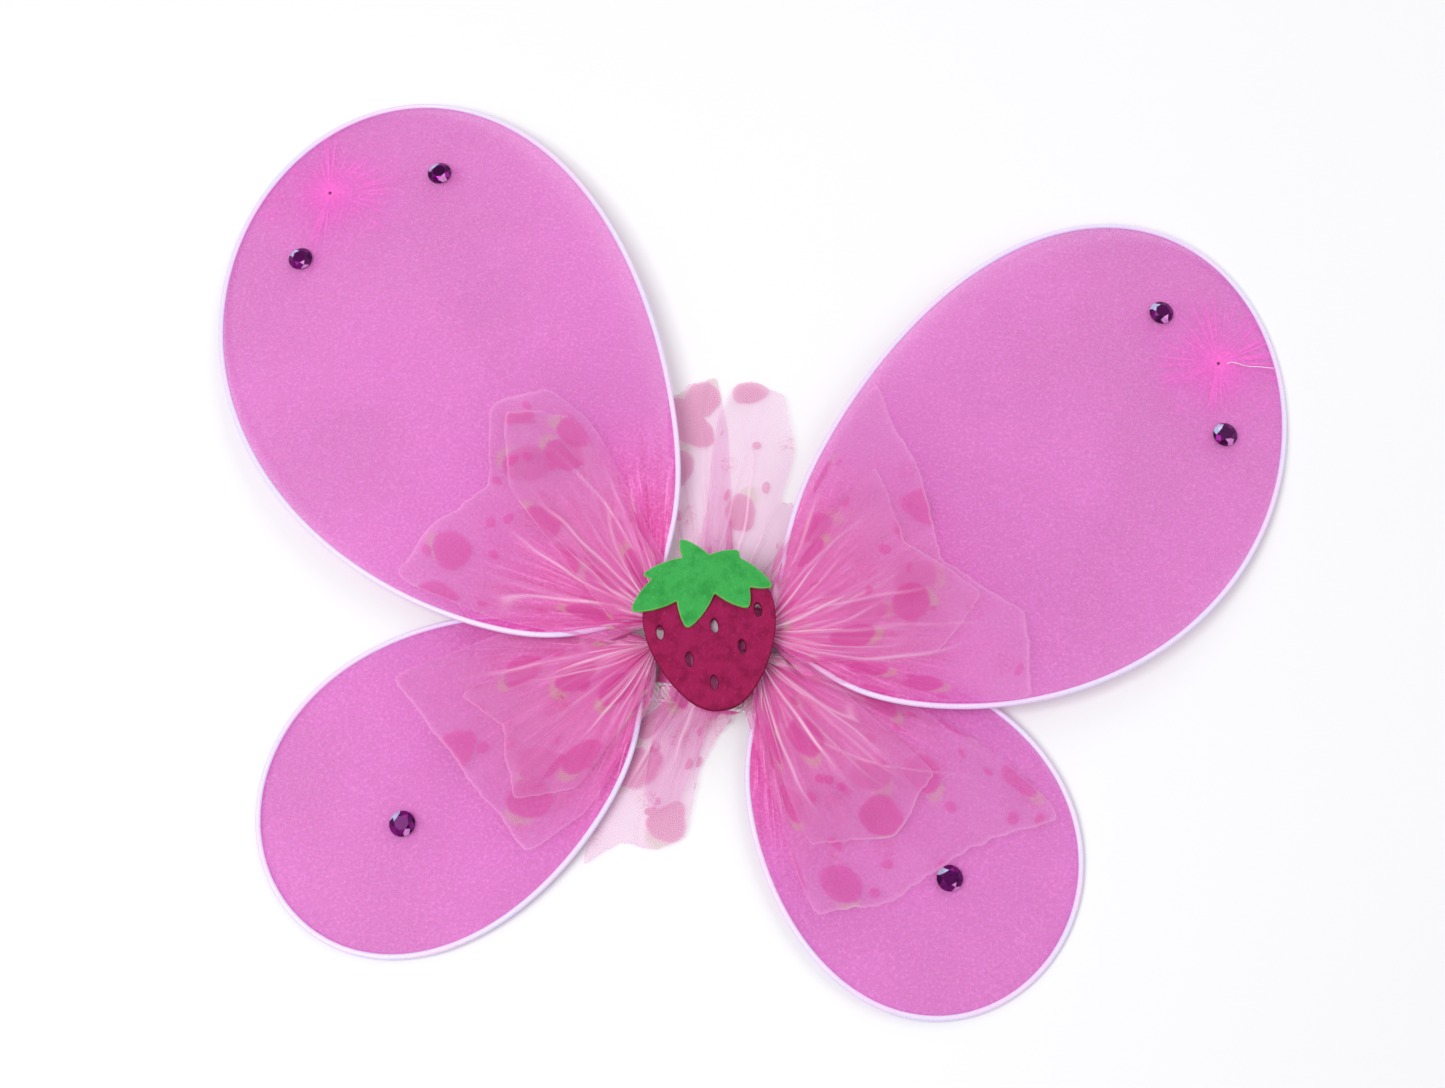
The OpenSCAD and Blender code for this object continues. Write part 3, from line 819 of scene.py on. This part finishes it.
def berry_outline():
    ring = []
    for a in (2 * math.pi * k / 120 for k in range(120)):
        side = math.copysign(abs(math.sin(a)) ** 0.85, math.sin(a))
        ring.append((25.5 * side * (1 + 0.28 * math.cos(a)) + 1.2, 30 * math.cos(a) - 2))
    return tilted(ring)


def seed_outline(x, y, half_w=1.45, half_l=3.0):
    ring = [(x + half_w * math.sin(a), y + half_l * math.cos(a) + 0.12 * math.sin(2 * a))
            for a in np.linspace(0, 2 * math.pi, 20, endpoint=False)]
    return tilted(ring)


def leaf_outline(bow=0.14, steps=14):
    """Leaves with curved sides, sharp between them and a little round at their tips, every other corner."""
    ring = []
    for a, b in zip(LEAVES, LEAVES[1:] + LEAVES[:1]):
        middle = ((a[0] + b[0]) / 2 + bow * (a[1] - b[1]), (a[1] + b[1]) / 2 + bow * (b[0] - a[0]))
        for k in range(steps):
            u = k / steps
            ring.append([(1 - u) ** 2 * p + 2 * u * (1 - u) * m + u * u * q for p, m, q in zip(a, middle, b)])
    ring = np.array(ring)
    past_tip = np.arange(len(ring)) % (2 * steps)
    at_tip = np.minimum(past_tip, 2 * steps - past_tip) <= 2
    for _ in range(4):
        ring[at_tip] = ((np.roll(ring, 1, 0) + 2 * ring + np.roll(ring, -1, 0)) / 4)[at_tip]
    return tilted(ring)


def strawberry():
    low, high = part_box("strawberry")
    piece = cut_felt("felt_strawberry", berry_outline(), [seed_outline(*s) for s in SEEDS], low.z, high.z,
                     BERRY_FELT, bow=lambda x, y: -0.3 * MM * (x * x + y * y) / (28 * MM) ** 2)
    finish_piece(piece, "centre", "berry_felt", "strawberry")
    low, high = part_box("calyx")
    piece = cut_felt("felt_calyx", leaf_outline(), [], low.z + 0.05 * MM, high.z, LEAF_FELT,
                     bow=lambda x, y: -0.25 * MM + 0.35 * MM * np.sin(x / (7 * MM)) * np.cos(y / (9 * MM)))
    finish_piece(piece, "centre", "leaf_felt", "calyx")


# ---- rhinestones

GEM_RADIUS, GEM_HEIGHT, GEM_SEAT = 5.2 * MM, 3 * MM, 0.66 * MM


def gem_mesh():
    """Rings of a round brilliant with a flat back, as shares of its radius and height."""
    rings = ((16, 0.0, 0.9, 0.0), (16, 0.0, 1.0, 0.2), (16, 0.0, 1.0, 0.36),
             (8, 0.5, 0.8, 0.72), (8, 0.0, 0.56, 1.0))
    points, starts = [], []
    for count, shift, radius, height in rings:
        starts.append(len(points))
        step = 2 * math.pi / count
        points += [(radius * math.cos((k + shift) * step), radius * math.sin((k + shift) * step), height)
                   for k in range(count)]
    base, low, high, crown, table = starts
    faces = [tuple(range(base + 15, base - 1, -1)), tuple(range(table, table + 8))]
    for k in range(16):
        j = (k + 1) % 16
        faces += [(base + k, base + j, low + j, low + k), (low + k, low + j, high + j, high + k)]
    for k in range(8):
        j, before = (k + 1) % 8, (k - 1) % 8
        faces += [(high + 2 * k, high + 2 * k + 1, crown + k),
                  (high + 2 * k + 1, high + (2 * k + 2) % 16, crown + k),
                  (high + 2 * k, crown + k, table + k, crown + before),
                  (crown + k, table + j, table + k)]
    return points, faces


def facet_light(normal, rng):
    """Painted light on each facet. Most facets are dark, with random painted reflections; one pair on the key
    light's side and a small pair opposite are lit as painted glints.
    """
    turn = math.degrees(math.atan2(normal.y, normal.x))
    if 0.45 < normal.z < 0.9 and 118 < turn < 172:
        return 1.0
    if 0.45 < normal.z < 0.95 and -72 < turn < -38:
        return 0.86
    return 0.75 * rng.random()


def rhinestones(w):
    names = ("gem_high", "gem_low") if w.row > 0 else ("gem",)
    shape, faces = gem_mesh()
    for name, (s, across) in zip(names, w.gems):
        node = f"{w.name}_{name}"
        slope = (w.height(s + MM) - w.height(s - MM)) / (2 * MM)
        rng = random.Random(node)
        spin = rng.uniform(0, math.pi)
        points = []
        for x, y, z in shape:
            px, py = turned(GEM_RADIUS * x, GEM_RADIUS * y, spin)
            points.append(w.place(s + px, across + py, w.height(s) + slope * px + GEM_SEAT + GEM_HEIGHT * z))
        piece = new_piece(node + "_crystal", points, [f[::w.side] for f in faces], GEM, smooth=False)
        # Each face's painted light, which the gem's material reads.
        add_values(piece.data, "facet", [facet_light(p.normal, rng) for p in piece.data.polygons], "FACE")
        finish_piece(piece, w.name, "rhinestone", node)


# ---- pinches and thread

def pinch(w):
    """The tied toe of the nylon tube, tucked behind the cover: a small ruffled bunch."""
    def place(v, a):
        radius = MM * (0.5 + 1.7 * v) * (1 + 0.12 * math.sin(9 * a + 2 * v))
        drop = MM * (-0.5 - 1.2 * math.sin(math.pi * min(1, v * 0.9)) ** 0.7) - 0.12 * MM * math.sin(9 * a)
        s, across = w.pinch[0] + radius * math.cos(a), w.pinch[1] + radius * math.sin(a)
        return w.place(s, across, w.height(w.pinch[0]) + drop)

    piece = ringed_piece(w.name + "_tied_toe", 10, 48, place, PINK_WRAP, caps=0)
    finish_piece(piece, w.name, "wrap", w.name + "_pinch_knot")


def loose_thread(w):
    """A short end of white thread that runs from the pinch to the wire."""
    t = np.linspace(0, 1, 60)
    s = w.pinch[0] + (3 + 19 * t) * MM
    across = w.pinch[1] + MM * (-1.5 - 7 * t + 1.4 * np.sin(9 * t) * (1 - t) ** 2)
    z = w.height(s) + 0.95 * MM + 0.5 * MM * np.sin(np.pi * t) + 0.35 * MM * smoothstep(0.85, 1, t)
    points, faces = tubes([w.place(s, across, z)], 0.16 * MM, 8)
    finish_piece(new_piece(w.name + "_thread_end", points, faces, WHITE_THREAD), w.name, "tie")


# ---- centre bindings

BALL_R, SLEEVE_R = 3 * MM, 2.82 * MM
WRAP_TURNS, BINDING_TURNS = 7, 11


def root_wraps(w):
    """Ribbon wound over the ball and sleeve at a wing's root."""
    def place(v, a):
        s = (-2.9 + 10.8 * v) * MM
        radius = math.sqrt(max(BALL_R ** 2 - s * s, (0.4 * MM) ** 2)) if s < 1.0 * MM else SLEEVE_R
        radius = min(radius, BALL_R - 0.05 * MM) if 0 < v < 1 else 0.2 * MM
        radius *= 1 - 0.045 * (1 + math.sin(2 * math.pi * WRAP_TURNS * v - a + 0.5 * math.sin(3 * a)))
        return w.place(s, radius * math.cos(a), w.root_z + radius * math.sin(a))

    piece = ringed_piece(w.name + "_root_winding", 90, 36, place, PINK_WRAP)
    finish_piece(piece, w.name, "wrap", w.name + "_root_wrap")


def twisted_core(node, y, z):
    """Two wire tails twisted round each other inside the core's radius."""
    low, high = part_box(node)
    x = np.linspace(low.x, high.x, 160)
    pitch, out = 9 * MM, 1.25 * MM
    turns = [2 * math.pi * x / pitch + phase for phase in (0, math.pi)]
    paths = [np.stack([x, y + out * np.cos(a), z + out * np.sin(a)], -1) for a in turns]
    points, faces = tubes(paths, WIRE_R, 12)
    finish_piece(new_piece(node + "_strands", points, faces, WIRE), "centre", "wire", node)


def binding():
    """Ribbon wound round both cores, as a stadium with slanting ridges."""
    low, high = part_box("binding_wrap")
    rise, run = UPPER_Z - LOWER_Z, 2 * ROOT_Y
    rows = 110

    def place(v, a):
        radius = 3.35 * MM * (1 - 0.05 * (1 + math.sin(2 * math.pi * BINDING_TURNS * v - a)))
        if min(v, 1 - v) * (rows - 1) < 1.5:
            radius *= 0.8
        gap = math.copysign(math.hypot(rise, run) / 2, math.cos(a))
        p = gap * min(1, abs(math.cos(a)) * 3) + radius * math.cos(a)
        q = radius * math.copysign(min(1, abs(math.sin(a)) * 1.25), math.sin(a))
        y, z = turned(p, q, math.atan2(rise, run))
        return low.x + (high.x - low.x) * v, y, (UPPER_Z + LOWER_Z) / 2 + z

    finish_piece(ringed_piece("binding_ribbon", rows, 72, place, PINK_WRAP), "centre", "wrap", "binding_wrap")


def knot():
    """The gathered middle of the tulle: a pleated bundle drawn in under its tie."""
    low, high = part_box("tulle_knot")
    middle, half = (high + low) / 2, (high - low) / 2
    rows, columns = 80, 120

    def place(v, a):
        x = low.x + 2 * half.x * v
        waist = 0.74 + 0.26 * float(smoothstep(1.5 * MM, 9 * MM, abs(x)))
        close = math.sin(math.pi * min(max(v, 0.02), 0.98)) ** 0.3
        fold = 1 - 0.1 * (1 + math.sin(17 * a + 3 * math.sin(2 * a) + 5 * v))
        scale = waist * close * fold
        return x, half.y * scale * math.cos(a), middle.z + half.z * scale * math.sin(a)

    uv = [(0.03 * c / columns, 0.03 * r / rows) for r in range(rows) for c in range(columns)]
    piece = ringed_piece("tulle_bundle", rows, columns, place, TULLE, uv=uv)
    add_values(piece.data, "crowd", [0.8] * len(uv))
    finish_piece(piece, "centre", "tulle", "tulle_knot")


def tie():
    """White ribbon round the bundle and the cores, creased along its length."""
    low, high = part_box("centre_tie")
    middle, half = (high + low) / 2, (high - low) / 2
    rows, columns = 14, 140
    thickness, half_width = 0.62 * MM, 2.4 * MM
    points = []
    for thick in (0, thickness):
        for v in (r / (rows - 1) for r in range(rows)):
            for a in (2 * math.pi * c / columns for c in range(columns)):
                crease = 0.1 * MM * math.sin(2 * math.pi * 3 * v + 2 * math.sin(3 * a))
                across, up = (math.copysign(abs(part) ** 0.42, part) * (size - thick) for part, size in (
                    (math.cos(a), half.y - 0.12 * MM), (math.sin(a), half.z - 0.02 * MM)))
                x = (2 * v - 1) * (half_width + 0.12 * MM * math.sin(5 * a))
                points.append((x, across + crease * math.cos(a) * 0.5, middle.z + up))
    piece = new_piece("centre_ribbon", points, slab_faces(rows, columns, closed=True), WHITE_RIBBON)
    finish_piece(piece, "centre", "tie", "centre_tie")


def glue():
    low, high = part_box("glue_pad")

    def place(v, a):
        wobble = 1 + 0.09 * math.sin(3 * a + 1) + 0.06 * math.sin(7 * a)
        radius = 8.0 * MM * wobble * math.sin(math.pi * (0.02 + 0.96 * v)) ** 0.35
        return radius * math.cos(a), radius * math.sin(a), low.z + (high.z - low.z) * v

    finish_piece(ringed_piece("glue_blob", 14, 64, place, GLUE, caps=-1), "centre", "glue", "glue_pad")


# ---- back pad and arm loops

def back_pad():
    low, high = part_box("back_pad")
    corner = 8 * MM
    half_x, half_y = high.x - corner, high.y - corner
    ring = []
    for turn, (x, y) in enumerate(((1, 1), (-1, 1), (-1, -1), (1, -1))):
        for a in np.linspace(turn, turn + 1, 13) * math.pi / 2:
            ring.append((x * half_x + corner * math.cos(a), y * half_y + corner * math.sin(a)))
    piece = cut_felt("felt_back_pad", ring, [], low.z, high.z, PAD_FELT)
    finish_piece(piece, "centre", "pad_felt", "back_pad")


STRAP_Y, STRAP_W, STRAP_T = 22 * MM, 8 * MM, 0.75 * MM
STRAP_CORDS = 6


def strap_line(side):
    """Edges of the flat elastic in plan and its underside height, tab to tab, with 45 degree folds."""
    hinge_x, far = (corner.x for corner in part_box("right_strap"))
    near = far - STRAP_W
    inner, outer = STRAP_Y - STRAP_W / 2, STRAP_Y + STRAP_W / 2

    def under(x):
        return 2.08 * MM * (1 - float(smoothstep(hinge_x + 1 * MM, hinge_x + 20 * MM, x)))
    half = []
    for x in np.linspace(6 * MM, near - 1 * MM, 70):
        half.append(((x, outer), (x, inner), under(x)))
    half.append(((near, outer), (far - 0.6 * MM, inner), 0.0))
    half.append(((near, outer - 0.2 * MM), (far, inner - 0.4 * MM), STRAP_T * 0.5))
    half.append(((near, outer - 0.8 * MM), (far, inner - 1.0 * MM), STRAP_T))
    for y in np.linspace(inner - 2 * MM, 0.6 * MM, 16):
        lift = STRAP_T * float(smoothstep(inner - 12 * MM, inner - 3 * MM, y))
        shift = 6.8 * MM * float(smoothstep(inner - 8 * MM, inner, y))
        half.append(((near, y + shift), (far, y), lift))
    back = [((a[0], -a[1]), (b[0], -b[1]), z) for a, b, z in reversed(half)]
    return [((side * a[0], a[1]), (side * b[0], b[1]), z) for a, b, z in half + back]


def arm_loop(side):
    """Braided elastic: ribs along its length, folded flat at the two outer corners."""
    line = strap_line(side)
    columns = 4 * STRAP_CORDS + 1
    middles = np.array([np.add(a, b) / 2 for a, b, _ in line])
    runs = [0, *np.cumsum(np.hypot(*np.diff(middles, axis=0).T))]
    top, bottom, uv = [], [], []
    for (a, b, z), run in zip(line, runs):
        for c in range(columns):
            u = c / (columns - 1)
            x, y = a[0] + (b[0] - a[0]) * u, a[1] + (b[1] - a[1]) * u
            rib = 0.09 * MM * abs(math.sin(math.pi * STRAP_CORDS * u))
            thin = 0.2 * STRAP_T if c in (0, columns - 1) else 0.0
            top.append((x, y, z + STRAP_T - thin - 0.1 * MM + rib))
            bottom.append((x, y, z + 0.1 * MM + thin - rib))
            uv.append((run, u * STRAP_W))
    faces = [f[::side] for f in slab_faces(len(line), columns)]
    name = "left" if side == LEFT else "right"
    piece = new_piece(name + "_arm_loop", top + bottom, faces, ELASTIC, uv=uv + uv)
    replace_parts(piece, name + "_strap", "strap_tab_top_" + name, "strap_tab_bottom_" + name)
    bend_start, bend_end = ((side * x * MM, 0, 2 * MM) for x in (19.6, 22.5))
    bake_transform(piece)
    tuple(bend_start)
    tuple(bend_end)


def stitches():
    """Running stitches in a box through each end of the elastic and the pad."""
    gap, count = 0.15, 3
    u = np.linspace(0, 1, 7)[:, None]
    hump = 0.22 * MM * np.sin(np.pi * u) * (0, 0, 1)
    corners = [np.array((x, y, 2.9)) * MM for x, y in ((8.5, 19.4), (17, 19.4), (17, 24.6), (8.5, 24.6))]
    paths = []
    for quarter in ((-1, -1, 1), (-1, 1, 1), (1, -1, 1), (1, 1, 1)):
        for p, q in zip(corners, corners[1:] + corners[:1]):
            for k in range(count):
                share = (k + gap + (1 - 2 * gap) * u) / count
                paths.append(quarter * (p + (q - p) * share) + hump)
    points, faces = tubes(paths, 0.2 * MM, 6)
    finish_piece(new_piece("strap_stitches", points, faces, PINK_THREAD), "centre", "tie")


# ---- studio

def aim(thing, place, target):
    thing.location = place
    thing.rotation_euler = (target - place).to_track_quat("-Z", "Y").to_euler()


def studio():
    scene = bpy.context.scene
    ground = Shader("studio_floor")
    speck = ground.noise(ground.coordinates(), 3.0)
    paint = ground.layers((0.80, 0.79, 0.80), (speck, (0.83, 0.82, 0.83)))
    ground.finish(base_color=paint, roughness=0.9, specular_ior_level=0.1)
    size = 4.0
    corners = [(-size, -size, 0), (size, -size, 0), (size, size, 0), (-size, size, 0)]
    floor = new_piece("ground", corners, [(0, 1, 2, 3)], ground.material, smooth=False)
    floor.location.z = -0.02 * MM
    for name, place, power, width in (("key", (-0.55, -0.35, 1.25), 14, 0.8),
                                      ("fill", (0.95, 0.35, 0.9), 4, 1.0), ("back", (0.1, 1.1, 0.8), 3, 0.8)):
        light = bpy.data.lights.new(name, "AREA")
        light.energy, light.size = power, width
        aim(add_object(name, light), Vector(place), Vector((0, 0.03, 0)))
    world = bpy.data.worlds.new("soft_sky")
    world.use_nodes = True
    sky = world.node_tree.nodes["Background"].inputs
    sky["Color"].default_value, sky["Strength"].default_value = (0.95, 0.97, 1.0, 1), 0.5
    scene.world = world
    scene.view_settings.view_transform = "Standard"


def camera():
    lens = bpy.data.cameras.new("camera")
    lens.lens = 47.5
    viewer = add_object("camera", lens)
    aim(viewer, Vector((0.032, -0.201, 0.751)), Vector((0.0, 0.043, 0.004)))
    bpy.context.scene.camera = viewer


camera()
studio()
for w, above in ((UPPER_LEFT, None), (UPPER_RIGHT, None),
                 (LOWER_LEFT, UPPER_LEFT), (LOWER_RIGHT, UPPER_RIGHT)):
    wire_loop(w)
    nylon = nylon_material(w)
    cover_sheet(w, BACK, nylon)
    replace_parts(cover_sheet(w, FRONT, nylon), w.name + "_cover")
    wing_tulle(w, above)
    rhinestones(w)
    root_wraps(w)
for w in (UPPER_LEFT, UPPER_RIGHT):
    pinch(w)
loose_thread(UPPER_RIGHT)
tails()
strawberry()
twisted_core("upper_wire_core", ROOT_Y, UPPER_Z)
twisted_core("lower_wire_core", -ROOT_Y, LOWER_Z)
binding()
knot()
tie()
glue()
back_pad()
arm_loop(LEFT)
arm_loop(RIGHT)
stitches()
